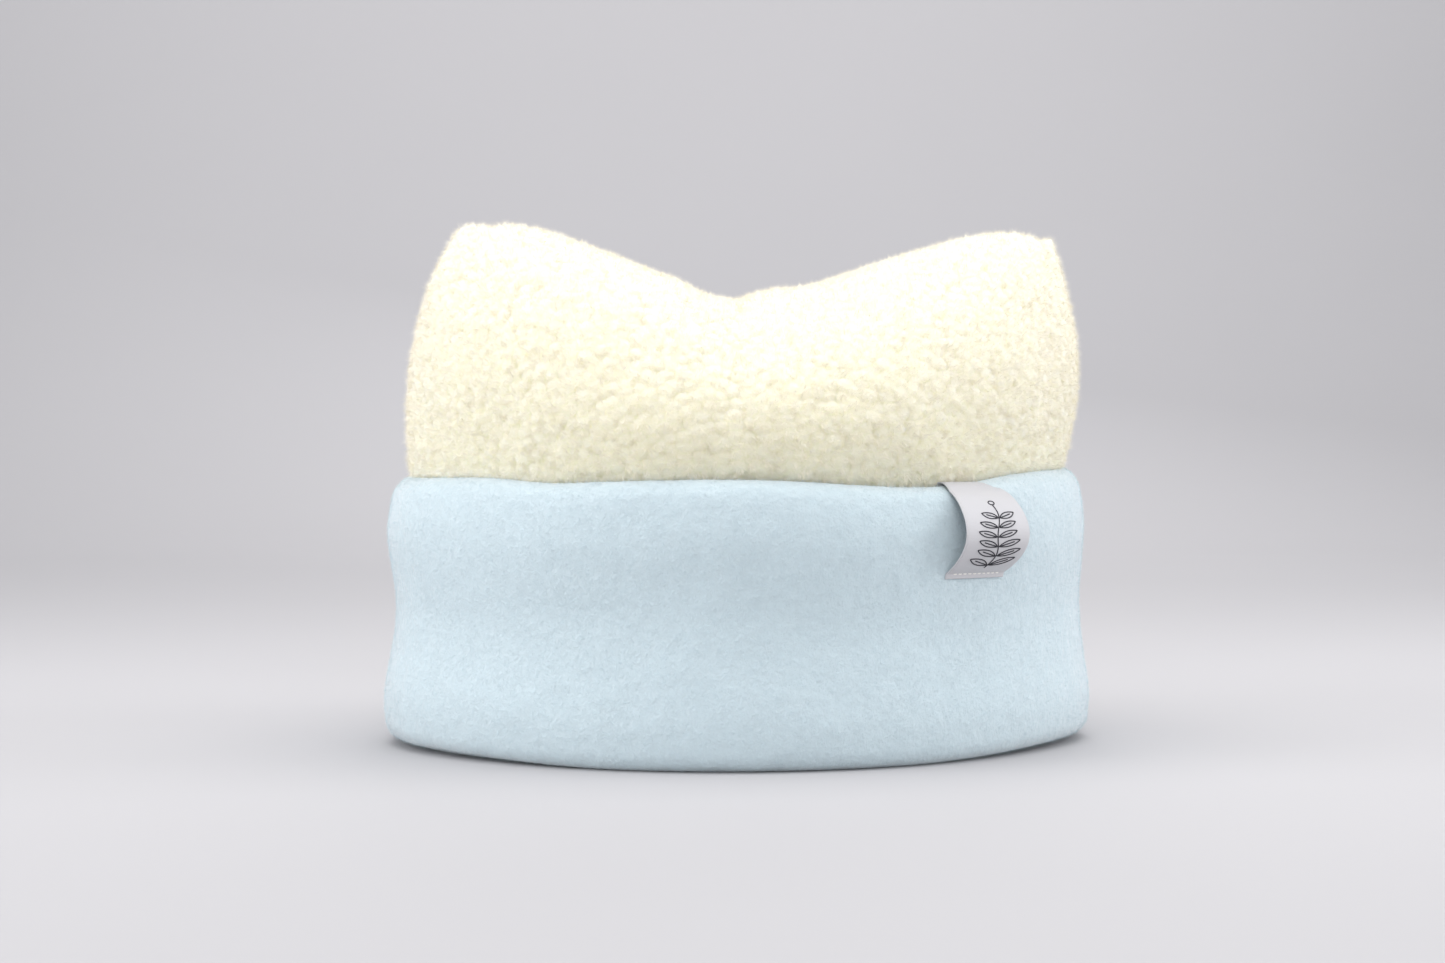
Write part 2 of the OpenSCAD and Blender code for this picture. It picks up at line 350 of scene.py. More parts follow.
def brushed_finish(name, colour):
    """Brushed fleece: felted nap, with faint patches where the fibres lie another way."""
    finish = Finish(name)
    nap = finish.noise(1500.0, 4.0, 0.65, stretch=(1.0, 1.0, 0.55))
    tuft = finish.noise(420.0, 3.0, 0.6)
    patch = finish.noise(60.0, 3.0, 0.55, distortion=0.6)
    tint = finish.mix(tuft, rgba(colour, 0.86), rgba(colour, 1.1))
    tint = finish.mix(patch * 0.4, tint, rgba(colour, 1.1))
    tint = finish.mix(nap * 0.35, tint, rgba(colour, 0.9))
    relief = nap * 0.5 + tuft
    return finish.close(
        base_color=tint, roughness=0.86 + nap * 0.12, normal=finish.bump(relief, 0.75, 0.0007),
        specular_ior_level=0.1, sheen_weight=1.0, sheen_roughness=0.4,
        sheen_tint=(1.0, 0.99, 1.0, 1.0))


@once
def cuff_finish():
    return brushed_finish("blue cuff fleece", colours().cuff)


@once
def lining_finish():
    return brushed_finish("pale lining fleece", colours().lining)


@once
def nap_fibre_finish():
    return fibre_finish("brushed cuff fibre", colours().cuff, 250.0, 0.98, 1.1, 0.5, 0.45)


@once
def thread_finish():
    finish = Finish("spun thread")
    c = colours()
    twist = finish.noise(2500.0, 2.0, stretch=(1.0, 1.0, 3.0))
    tint = finish.mix(twist, rgba(c.thread, 0.9), rgba(c.thread, 1.05))
    return finish.close(
        base_color=tint, roughness=0.6 + twist * 0.2, normal=finish.bump(twist, 0.3, 0.0002),
        specular_ior_level=0.3, sheen_weight=0.15)


@once
def label_finish():
    """Woven satin ribbon: fine warp and weft that follow the ribbon's own map."""
    finish = Finish("woven label")
    c = colours()
    ribbon = finish.add("ShaderNodeUVMap", {"uv_map": "ribbon"}, output="UV")
    warp, weft = (
        finish.add("ShaderNodeTexWave", {"bands_direction": direction}, {
            "Vector": ribbon, "Scale": scale, "Distortion": 1.5, "Detail": 1.0}, output="Fac")
        for direction, scale in (("X", 900.0), ("Y", 700.0)))
    weave = warp * 0.5 + weft * 0.5
    tint = finish.mix(weave, rgba(c.label, 0.94), rgba(c.label, 1.03))
    return finish.close(
        base_color=tint, roughness=0.5 + weave * 0.2, normal=finish.bump(weave, 0.25, 0.00015),
        specular_ior_level=0.3, sheen_weight=0.1)


@once
def motif_finish():
    finish = Finish("dark woven line")
    grain = finish.noise(3000.0, 2.0)
    tint = finish.mix(grain, rgba(colours().motif), rgba(colours().motif, 2.2))
    return finish.close(base_color=tint, roughness=0.6 + grain * 0.2, specular_ior_level=0.25)


# ---------------------------------------------------------------- mesh tools


def deselect():
    bpy.ops.object.select_all(action="DESELECT")


def take(piece):
    """Makes a piece the only selected object."""
    deselect()
    piece.select_set(True)
    bpy.context.view_layer.objects.active = piece


def cloth(name, points, faces, material, attributes=None):
    """A piece from points in millimetres and faces of three or four corners."""
    mesh = bpy.data.meshes.new(name)
    faces = [np.asarray(group) for group in faces if len(group)]
    corners = np.concatenate([group.ravel() for group in faces])
    counts = np.concatenate([np.full(len(group), group.shape[1]) for group in faces])
    mesh.vertices.add(len(points))
    mesh.vertices.foreach_set("co", (np.asarray(points) * MM).astype(np.float32).ravel())
    mesh.loops.add(len(corners))
    mesh.loops.foreach_set("vertex_index", corners.astype(np.int32))
    mesh.polygons.add(len(counts))
    mesh.polygons.foreach_set("loop_start", np.concatenate([[0], np.cumsum(counts)[:-1]]).astype(np.int32))
    mesh.polygons.foreach_set("loop_total", counts.astype(np.int32))
    mesh.polygons.foreach_set("use_smooth", np.ones(len(counts), dtype=bool))
    mesh.update(calc_edges=True)
    for key, values in (attributes or {}).items():
        layer = mesh.attributes.new(key, "FLOAT", "POINT")
        layer.data.foreach_set("value", np.asarray(values, dtype=np.float32))
    mesh.materials.append(material)
    piece = bpy.data.objects.new(name, mesh)
    bpy.context.scene.collection.objects.link(piece)
    return piece


def weave_grid(rows, columns, loop_rows=False, loop_columns=False, start=0):
    """Quads over a grid of rows by columns, which may close on itself either way."""
    r = np.arange(rows if loop_rows else rows - 1)
    c = np.arange(columns if loop_columns else columns - 1)
    r, c = np.meshgrid(r, c, indexing="ij")
    up, right = (r + 1) % rows, (c + 1) % columns
    return np.stack([r * columns + c, r * columns + right, up * columns + right, up * columns + c], -1
                    ).reshape(-1, 4) + start


def zip_edges(first, second, flip):
    """Triangles between two rows of points that run side by side with different counts."""
    faces, i, j = [], 0, 0
    while i < len(first) - 1 or j < len(second) - 1:
        along_first = (i + 1) / (len(first) - 1) if i < len(first) - 1 else 2.0
        along_second = (j + 1) / (len(second) - 1) if j < len(second) - 1 else 2.0
        if along_first <= along_second:
            faces.append((first[i], first[i + 1], second[j]))
            i += 1
        else:
            faces.append((first[i], second[j + 1], second[j]))
            j += 1
    faces = np.array(faces)
    return faces[:, ::-1] if flip else faces


def unit(vectors):
    return vectors / np.maximum(np.linalg.norm(vectors, axis=-1, keepdims=True), 1e-9)


def lengths_along(line):
    """Distance travelled along a line of points up to each of them."""
    return np.concatenate([[0], np.cumsum(np.linalg.norm(np.diff(line, axis=0), axis=1))])


def grid_normals(grid):
    """Outward normals of a grid whose rows rise and whose columns run to the right."""
    return unit(np.cross(np.gradient(grid, axis=1), np.gradient(grid, axis=0)))


def soft_noise(points, scale, seed):
    """Smooth noise from about -1 to 1 at each point, with features about scale millimetres across."""
    shift = Vector((seed * 13.7, seed * 7.1, seed * 3.3))
    flat = (points.reshape(-1, 3) / scale).tolist()
    return np.array([noise.noise(Vector(p) + shift) for p in flat]).reshape(points.shape[:-1])


def between(low, high, value):
    """Eases from 0 at low to 1 at high."""
    share = np.clip((value - low) / (high - low), 0, 1)
    return share * share * (3 - 2 * share)


def thread_tube(name, path, radius, closed, sides=6):
    """Thread along a path, in millimetres, made as a round curve and turned into a mesh."""
    curve = bpy.data.curves.new(name, "CURVE")
    curve.dimensions = "3D"
    curve.bevel_depth = radius * MM
    curve.bevel_resolution = max(0, (sides - 4) // 2)
    curve.use_fill_caps = not closed
    spline = curve.splines.new("POLY")
    spline.points.add(len(path) - 1)
    spline.points.foreach_set("co", np.column_stack([path * MM, np.ones(len(path))]).ravel())
    spline.use_cyclic_u = closed
    piece = bpy.data.objects.new(name, curve)
    bpy.context.scene.collection.objects.link(piece)
    take(piece)
    bpy.ops.object.convert(target="MESH")
    piece = bpy.context.object
    bpy.ops.object.shade_smooth()
    return piece


def join(pieces, name):
    """Joins pieces into the first one."""
    deselect()
    for piece in pieces:
        piece.select_set(True)
    bpy.context.view_layer.objects.active = pieces[0]
    if len(pieces) > 1:
        bpy.ops.object.join()
    pieces[0].name = name
    return pieces[0]


def face_outward(piece):
    """Turns every face of a closed piece outwards."""
    take(piece)
    bpy.ops.object.mode_set(mode="EDIT")
    bpy.ops.mesh.select_all(action="SELECT")
    bpy.ops.mesh.normals_make_consistent(inside=False)
    bpy.ops.object.mode_set(mode="OBJECT")
    return piece


def dress(piece, material, slot, *nodes):
    """Gives a piece its finish and its body, and hides the nodes of the frame that it stands in for."""
    if material is not None:
        piece.data.materials.clear()
        piece.data.materials.append(material)
    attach(piece, "root")
    if nodes:
        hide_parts(*nodes)
    return piece


def fibres(name, grid, normals, count, length, width, rise, swirl, rng, material):
    """Loose fibres, each one slim triangle, that lie on a grid of cloth.

    They rise off it by up to rise degrees. Over about swirl millimetres neighbours lie the same way
    and have a like length."""
    sunk, wander, above_table = 0.1, 0.22, 0.03
    across, along = np.diff(grid, axis=1)[:-1], np.diff(grid, axis=0)[:, :-1]
    area = np.linalg.norm(np.cross(across, along), axis=-1).ravel()
    row, column = np.divmod(rng.choice(area.size, count, p=area / area.sum()), grid.shape[1] - 1)
    fr, fc = rng.random((2, count, 1))

    def sample(values):
        low = values[row, column] * (1 - fc) + values[row, column + 1] * fc
        high = values[row + 1, column] * (1 - fc) + values[row + 1, column + 1] * fc
        return low * (1 - fr) + high * fr

    root, out = sample(grid), unit(sample(normals))
    flow = np.array([noise.noise_vector(Vector(p)) for p in (root / swirl).tolist()])
    lie = unit(np.cross(out, flow + rng.normal(scale=wander, size=(count, 3))))
    tuft = np.clip(0.55 + 1.5 * np.linalg.norm(flow, axis=1), 0.6, 1.6)
    angle = np.radians(rng.uniform(0.3, 1.0, count) * rise)[:, None]
    direction = lie * np.cos(angle) + out * np.sin(angle)
    side = np.cross(out, lie)
    reach = length * (tuft * rng.uniform(0.45, 1.15, count))[:, None]
    half = width / 2 * rng.uniform(0.7, 1.3, count)[:, None]
    root = root - out * sunk
    points = np.stack([root + side * half, root - side * half, root + direction * (reach + sunk)], 1)
    points[..., 2] = np.maximum(points[..., 2], above_table)
    faces = np.arange(3 * count).reshape(-1, 3)
    return cloth(name, points.reshape(-1, 3), [faces], material)


# ---------------------------------------------------------------- shape of the hat


def oval(angle, inset):
    """Front half of the oval: the point whose outward normal is angle to the right of -Y."""
    on_side = np.abs(angle) <= SIDE_SWEEP
    x = np.where(on_side, (SIDE_RADIUS - inset) * np.sin(angle),
                 np.sign(angle) * END_CENTRE + (END_RADIUS - inset) * np.sin(angle))
    y = np.where(on_side, SIDE_CENTRE - (SIDE_RADIUS - inset) * np.cos(angle),
                 -(END_RADIUS - inset) * np.cos(angle))
    return x, y


def even_angles(count, inset, half_turns=1):
    """Normal angles that lie evenly along the oval: the front half, or all of it from the front."""
    fine = np.linspace(-math.pi / 2, math.pi / 2, 4001)
    x, y = oval(fine, inset)
    along = np.concatenate([[0], np.cumsum(np.hypot(np.diff(x), np.diff(y)))])
    if half_turns == 1:
        return np.interp(np.linspace(0, along[-1], count), along, fine), along[-1]
    places = np.arange(count) / count * 2 * along[-1]
    front = np.interp(np.minimum(places, along[-1]), along, fine)
    back = np.interp(np.maximum(places - along[-1], 0), along, fine)
    return np.where(places <= along[-1], front, back + math.pi), 2 * along[-1]


def ring(count):
    """Points and outward normals all round the cuff's outer face, with the length round it."""
    angles, length = even_angles(count, 0.0, half_turns=2)
    front = angles <= math.pi / 2
    base = np.where(front, angles, angles - math.pi)
    x, y = oval(base, 0.0)
    sign = np.where(front, 1.0, -1.0)
    normal = np.stack([np.sin(base) * sign, -np.cos(base) * sign, np.zeros(count)], -1)
    return np.stack([x * sign, y * sign, np.zeros(count)], -1), normal, length


def crown_surface(angle, rise, inset, depth):
    """Face of a front crown panel.

    Below, it lies inset inside the cuff's face. Above, it lies depth inside the crown's outer face.
    rise is 0 where the crown starts to close and 1 at its top seam."""
    s = sizes()
    x, y = oval(angle, inset)
    width, reach = HALF_WIDTH - inset, HALF_DEPTH - inset
    share = x / width
    closing = rise ** 0.9
    side = s.side_swell / MM * np.sin(math.pi * rise ** 0.6) ** 2
    front = s.front_swell / MM * np.sin(math.pi * rise ** 0.55) ** 2
    px = share * ((1 - closing) * width + closing * (TOP_HALF - depth) + side) + TOP_MIDDLE * rise ** 0.8
    py = -(PANEL_GAP + (-y / reach) * ((reach - PANEL_GAP) * np.cos(rise * math.pi / 2) + front))
    closing_length, corner_width, corner_height = 100, 11, 16
    from_side, from_top = (1 - np.abs(share)) * TOP_HALF, (1 - rise) * closing_length
    stuffed = np.exp(-(from_side / corner_width) ** 2 - (from_top / corner_height) ** 2)
    py = py - CORNER_STUFFING * stuffed * np.sqrt(np.clip(np.minimum(from_side, from_top) / 1.5, 0, 1))
    top = np.interp(share, OUTLINE_SHARE, OUTLINE_HEIGHT) - depth
    pz = CROWN_BEND + (top - CROWN_BEND) * np.sin(rise * math.pi / 2)
    return np.stack([px, py, pz], -1)


def crown_grid(angles, lows, rises, inset, depth):
    """Grid of a panel: straight rows at the heights lows, then closing rows at the shares rises."""
    below = crown_surface(angles[None, :], np.zeros((len(lows), 1)), inset, depth)
    below[..., 2] = np.asarray(lows)[:, None]
    above = crown_surface(angles[None, :], np.asarray(rises)[:, None], inset, depth)
    return np.concatenate([below, above])


def panel_piece(name, outer, inner, material, attributes=None, mirrored=False):
    """A closed panel of cloth from its outer and inner grids, joined round all four edges."""
    outside = np.arange(outer.shape[0] * outer.shape[1]).reshape(outer.shape[:2])
    inside = np.arange(inner.shape[0] * inner.shape[1]).reshape(inner.shape[:2]) + outside.size
    quads = np.concatenate([weave_grid(*outside.shape),
                            weave_grid(*inside.shape, start=outside.size)[:, ::-1]])
    edges = np.concatenate([
        zip_edges(outside[-1], inside[-1], flip=False), zip_edges(outside[0], inside[0], flip=True),
        zip_edges(outside[:, 0], inside[:, 0], flip=False),
        zip_edges(outside[:, -1], inside[:, -1], flip=True)])
    points = np.concatenate([outer.reshape(-1, 3), inner.reshape(-1, 3)])
    if mirrored:
        points[:, 1] *= -1
        quads, edges = quads[:, ::-1], edges[:, ::-1]
    pad = np.zeros(inside.size)
    kept = {key: np.concatenate([value.ravel(), pad]) for key, value in (attributes or {}).items()}
    return cloth(name, points, [quads, edges], material, kept)


def scattered(points, spacing, rng):
    """Picks points so that none lies nearer than spacing to another."""
    order = rng.permutation(len(points))
    cells, kept = {}, []
    near = [(i, j, k) for i in (-1, 0, 1) for j in (-1, 0, 1) for k in (-1, 0, 1)]
    limit = spacing * spacing
    for index in order:
        x, y, z = points[index]
        cell = (int(x // spacing), int(y // spacing), int(z // spacing))
        crowded = any((ox - x) ** 2 + (oy - y) ** 2 + (oz - z) ** 2 < limit
                      for i, j, k in near
                      for ox, oy, oz in cells.get((cell[0] + i, cell[1] + j, cell[2] + k), ()))
        if not crowded:
            cells.setdefault(cell, []).append((x, y, z))
            kept.append((x, y, z))
    return np.array(kept)


def curls(points, spacing, rng, seed):
    """Rounded nubs that crowd each other: height of their tops in millimetres, and how deep in a crease
    between two curls each point lies, which places painted shade.
    """
    stretch = np.array([0.9, 0.9, 1.12])
    warp = np.stack([soft_noise(points, 5.0, seed + k) for k in range(3)], -1) * 0.5
    flat = ((points + warp) * stretch).reshape(-1, 3)
    seeds = scattered(points.reshape(-1, 3)[::2] * stretch, spacing * 0.8, rng)
    radius = spacing * rng.uniform(0.62, 0.86, len(seeds))
    lift = rng.uniform(-0.3, 0.4, len(seeds))
    tree = kdtree.KDTree(len(seeds))
    for index, seed_point in enumerate(seeds):
        tree.insert(seed_point, index)
    tree.balance()
    found = [tree.find_n(p, 5) for p in flat]
    which = np.array([[hit[1] for hit in hits] for hits in found])
    away = np.array([[hit[2] for hit in hits] for hits in found])
    tops = np.sqrt(np.maximum(radius[which] ** 2 - away ** 2, 0.04)) + lift[which]
    highest = tops.max(axis=1)
    merged = highest + BLEND * np.log(np.exp((tops - highest[:, None]) / BLEND).sum(axis=1))
    # Crease share where two curls meet; the sherpa's finish paints shade there
    crease_shade = np.exp(-(highest - np.sort(tops, axis=1)[:, -2]) / 0.3)
    return merged.reshape(points.shape[:-1]), crease_shade.reshape(points.shape[:-1])


# ---------------------------------------------------------------- crown


SHELL_COLUMNS = 515
SHELL_RISES = 168
SHELL_CLOSING_LENGTH, LINING_CLOSING_LENGTH = 102, 94    # the closing part of it, in millimetres
TUCK, TUCK_REACH = 2.9, 5    # how far the shell is drawn in behind the cuff's edge, and how far below it
NUB_START = 5.0          # how far below the cuff's top the curls begin to show
BLEND = 0.13             # how softly one curl runs into the next
SEAM_PITCH = 2.4         # distance from one zigzag of a sewn seam to the next
SEAM_BURIED = 1.6        # how much deeper than its solid a crown seam lies between the piles


def shell_panel(side, seed, mirrored):
    s = sizes()
    rng = np.random.default_rng(seed)
    angles, girth = even_angles(SHELL_COLUMNS, SHELL_INSET)
    start = CUFF_HEIGHT - NUB_START
    hidden = np.linspace(CROWN_FOOT, start - 4, 4)
    lows = np.concatenate([hidden, np.linspace(start - 1, CROWN_BEND - 0.6, 12)])
    outer = crown_grid(angles, lows, np.linspace(0, 1, SHELL_RISES), SHELL_INSET, 0.0)
    inner = crown_grid(even_angles(97, SHELL_INSET)[0], np.linspace(CROWN_FOOT, CUFF_HEIGHT, 6),
                       np.linspace(0, 1, 14), SHELL_INSET + SHELL_THICKNESS, SHELL_THICKNESS)
    normals = grid_normals(outer)
    below_edge = outer[..., 2] - CUFF_HEIGHT + TUCK_REACH
    outer -= normals * (TUCK * np.exp(-(below_edge / TUCK_REACH) ** 2))[..., None]
    shown = slice(len(hidden), None)
    seen = outer[shown]
    nubs, crease_shade = curls(seen, s.nub_spacing / MM, rng, seed)
    fine = soft_noise(seen, 1.6, seed + 5)
    broad = soft_noise(seen, 34.0, seed + 9) + 0.5 * soft_noise(seen, 15.0, seed + 11)
    show = between(start - 2, start + 2.5, seen[..., 2])
    edge = np.abs(seen[..., 1]) - PANEL_GAP
    edge_roll, fine_relief, broad_relief = 0.5, 0.13, 0.8
    roll = edge_roll * np.exp(-edge / 1.2)
    mean_nub = s.nub_spacing / MM * 0.62
    lift = (nubs - mean_nub) * s.nub_relief + fine * fine_relief + broad * broad_relief - roll
    crowding = np.linalg.norm(np.gradient(seen, axis=1), axis=-1)
    show = show * between(0.02, 0.3, crowding)
    outer[shown] += normals[shown] * (lift * show)[..., None]
    # Painted shade mask: how deep in a crease each point lies, handed to the sherpa's finish
    creases = np.zeros(outer.shape[:2])
    creases[shown] = crease_shade * show
    piece = panel_piece(f"sherpa_{side}", outer, inner, sherpa_finish(), {"crease_shade": creases}, mirrored)
    dress(piece, None, "sherpa", f"shell_{side}")

    skin = outer[shown].copy()
    skin_normals = grid_normals(skin)
    if mirrored:
        skin[..., 1] *= -1
        skin_normals[..., 1] *= -1
    pile = fibres(f"sherpa_pile_{side}", skin, skin_normals, s.pile_fibres, s.pile_length / MM, 0.1, 72,
                  2.2, rng, sherpa_fibre_finish())
    dress(pile, None, "sherpa")
    area = (girth * (CROWN_BEND - CROWN_FOOT) + (girth + 2.1 * TOP_HALF) / 2 * SHELL_CLOSING_LENGTH) * MM * MM
    return piece


def lining_panel(side, seed, mirrored):
    angles, girth = even_angles(190, LINING_INSET)
    lows = np.linspace(CROWN_FOOT, CROWN_BEND - 2, 34)
    rises = np.linspace(0, 1, 52)
    depth = SHELL_THICKNESS + LAYER_GAP
    outer = crown_grid(angles, np.linspace(CROWN_FOOT, CUFF_HEIGHT, 6), np.linspace(0, 1, 20),
                       LINING_INSET, depth)
    inner = crown_grid(angles, lows, rises, LINING_INSET + LINING_THICKNESS, depth + LINING_THICKNESS)
    normals = grid_normals(inner)
    edge = np.abs(inner[..., 1]) - PANEL_GAP
    relief = soft_noise(inner, 9.0, seed) * 0.25 + soft_noise(inner, 32.0, seed + 3) * 0.5 - 0.5
    inward = relief - 1.2 * np.exp(-edge / 1.4)
    held = between(CROWN_FOOT, CROWN_FOOT + 6, inner[..., 2])
    inner = inner - normals * (inward * held)[..., None]
    piece = panel_piece(f"lining_fleece_{side}", outer, inner, lining_finish(), mirrored=mirrored)
    dress(piece, None, "lining_fleece", f"lining_{side}")
    area = (girth * (CROWN_BEND - CROWN_FOOT) + (girth + 2 * TOP_HALF) / 2 * LINING_CLOSING_LENGTH) * MM * MM
    return piece


def seam_stitches(name, line, outward, across, half_width, lift, radius):
    """Thread that zigzags over a seam line, as an overlocked seam does."""
    lengths = lengths_along(line)
    count = max(2, int(lengths[-1] / SEAM_PITCH)) * 4
    places = np.linspace(0, lengths[-1], count)
    spot = np.stack([np.interp(places, lengths, line[:, k]) for k in range(3)], -1)
    out = unit(np.stack([np.interp(places, lengths, outward[:, k]) for k in range(3)], -1))
    phase = np.arange(count) % 4
    swing = np.choose(phase, [-1.0, -1.0, 1.0, 1.0]) * half_width
    rise = np.choose(phase, [0.0, 1.0, 1.0, 0.0]) * lift
    path = spot + out * rise[:, None] + across * swing[:, None]
    return thread_tube(name, path, radius, closed=False)


def crown_seam(prefix, inset, depth, thickness):
    """The top and side seams of the shell or the lining, each with its thread."""
    along_y = np.array([0.0, 1.0, 0.0])
    sunk, sunk_depth = inset + SEAM_SINK + SEAM_BURIED, depth + SEAM_SINK + SEAM_BURIED
    top = crown_surface(even_angles(121, inset)[0], np.ones(121), sunk, sunk_depth)[4:-4]
    top[:, 1] = 0
    seams = [("top_seam", top, (0.0, 0.0, 1.0))]
    lows, rises = np.linspace(CROWN_FOOT + 4, CUFF_HEIGHT, 20), np.linspace(0, 0.93, 50)
    for side, sign in (("left", -1), ("right", 1)):
        line = crown_grid(np.array([sign * math.pi / 2]), lows, rises, sunk, sunk_depth)[:, 0]
        seams.append((f"side_seam_{side}", line * [1, 0, 1], (float(sign), 0.0, 0.0)))
    for part, line, direction in seams:
        node = f"{prefix}_{part}"
        outward = np.tile(direction, (len(line), 1))
        ribbon = seam_tape(node, line, outward, thickness - SEAM_SINK - 2.2)
        thread = seam_stitches(node + "_thread", line, outward, along_y, half_width=0.42, lift=0.35,
                               radius=0.16)
        dress(ribbon, thread_finish(), "cream_thread", node)
        dress(thread, thread_finish(), "cream_thread")


def seam_tape(name, line, outward, depth):
    """The pressed edges of the cloth under a seam: a rounded strip along the seam line."""
    section = np.array([[math.cos(a), math.sin(a)] for a in np.linspace(0, 2 * math.pi, 12, endpoint=False)])
    middle = line - outward * depth / 2
    grid = (middle[:, None] + outward[:, None] * (section[:, 0] * depth / 2)[None, :, None]
            + np.array([0.0, 1.0, 0.0]) * (section[:, 1] * 0.18)[None, :, None])
    rows, columns = grid.shape[:2]
    faces = weave_grid(rows, columns, loop_columns=True)
    points = np.concatenate([grid.reshape(-1, 3), [grid[0].mean(0), grid[-1].mean(0)]])
    first = [(rows * columns, (k + 1) % columns, k) for k in range(columns)]
    last = [(rows * columns + 1, (rows - 1) * columns + k, (rows - 1) * columns + (k + 1) % columns)
            for k in range(columns)]
    piece = cloth(name + "_tape", points, [faces, np.array(first + last)], thread_finish())
    return face_outward(piece)


# ---------------------------------------------------------------- cuff


CUFF_COLUMNS = 430
SLIT = 0.6
TURN_RADIUS = 6.0
FOLD_PUFF = 1.2          # how much rounder the upper fold is than its two leaves


def cuff_line(step_seen, step_hidden):
    """Middle line of the folded band in its section, with the two spacings of its points.

    It starts at the brim's inner edge, runs under the crown, up the outside, over the fold and back.
    x is the distance out from the cuff's face and y the height."""
    t = sizes().fleece / MM
    fold = t + SLIT / 2
    top = CUFF_HEIGHT - fold - FOLD_PUFF
    turn = TURN_RADIUS - t / 2
    inner_turn = max(0.6, turn - t - SLIT)
    out_x, in_x = -t / 2, -t / 2 - t - SLIT
    low, high = t / 2, t / 2 + t + SLIT
    points = []

    def run(a, b, step):
        count = max(1, int(round(math.dist(a, b) / step)))
        for k in range(count):
            points.append((a[0] + (b[0] - a[0]) * k / count, a[1] + (b[1] - a[1]) * k / count))

    def arc(cx, cy, radius, start, end, step, tall=0.0):
        count = max(4, int(round(abs(end - start) * radius / step)))
        for k in range(count):
            a = start + (end - start) * k / count
            points.append((cx + radius * math.cos(a), cy + (radius + tall) * math.sin(a)))

    quarter = math.pi / 2
    run((-CAVITY_INSET + 0.6, low), (out_x - turn, low), 2.4)
    arc(out_x - turn, low + turn, turn, -quarter, 0, step_seen)
    run((out_x, low + turn), (out_x, top), step_seen)
    arc((out_x + in_x) / 2, top, fold - t / 2, 0, 2 * quarter, step_seen / 3, tall=FOLD_PUFF)
    run((in_x, top), (in_x, top - 8), step_seen * 1.6)
    run((in_x, top - 8), (in_x, high + inner_turn), step_hidden)
    arc(in_x - inner_turn, high + inner_turn, inner_turn, 0, -quarter, 1.0)
    run((in_x - inner_turn, high), (-CAVITY_INSET + 0.6, high), 2.4)
    points.append((-CAVITY_INSET + 0.6, high))
    return np.array(points)


def section_normals(line):
    """Outward sideways normals of a line in the band's section."""
    tangent = unit(np.gradient(line, axis=0))
    return np.stack([tangent[:, 1], -tangent[:, 0]], -1)


def cuff_shape(x, z, place):
    """Moves the section's points: the waist, the soft rolls and the slow sway round the hat."""
    def round_noise(climb, scale, seed):
        """Noise round the hat, which changes climb times as fast up it."""
        return soft_noise(np.stack([right, back, z * climb], -1), scale, seed)

    s = sizes()
    right, back = place[..., 0], place[..., 1]
    share = z / CUFF_HEIGHT
    buried = np.clip(-x / (2 * s.fleece / MM + SLIT), 0, 1)
    wall = between(-CAVITY_INSET * 0.6, -TURN_RADIUS * 1.4, x)
    foot_bulge, drawn_in, widening, shoulder_depth = 1.1, 0.9, 0.006, 6.0
    drawn = (-s.cuff_waist / MM * hump(share, 0.5, 0.2) + foot_bulge * hump(share, 0.16, 0.12)
             - drawn_in + widening * right)
    rounding = 1 - np.sqrt(1 - np.clip((share - 0.75) / 0.25, 0, 0.999) ** 2)
    shoulder = (-shoulder_depth * rounding * (1 - 0.85 * buried)
                - 2 * FOLD_PUFF * buried * between(0.7, 0.93, share))
    sway, crumple = round_noise(1.3, 46.0, 21), round_noise(2.2, 22.0, 27)
    soft = (1.2 * sway + 0.2 * crumple) * between(0.04, 0.35, share)
    x = x + wall * ((drawn + soft) * (1 - 0.75 * buried) + shoulder)
    high = round_noise(0.0, 60.0, 31)
    front_dip = hump(right, 55, 30) * (back < 0)
    z = z + 1.8 * wall * between(45, 115, np.abs(right)) * np.clip(1 - share, 0, 1) ** 3
    ends = between(65, 100, np.abs(right)) * (back < 20)
    z = z + wall * share ** 2 * (1.2 * high + 0.8 - 3.6 * front_dip + 1.6 * ends + 0.014 * right)
    return x, z


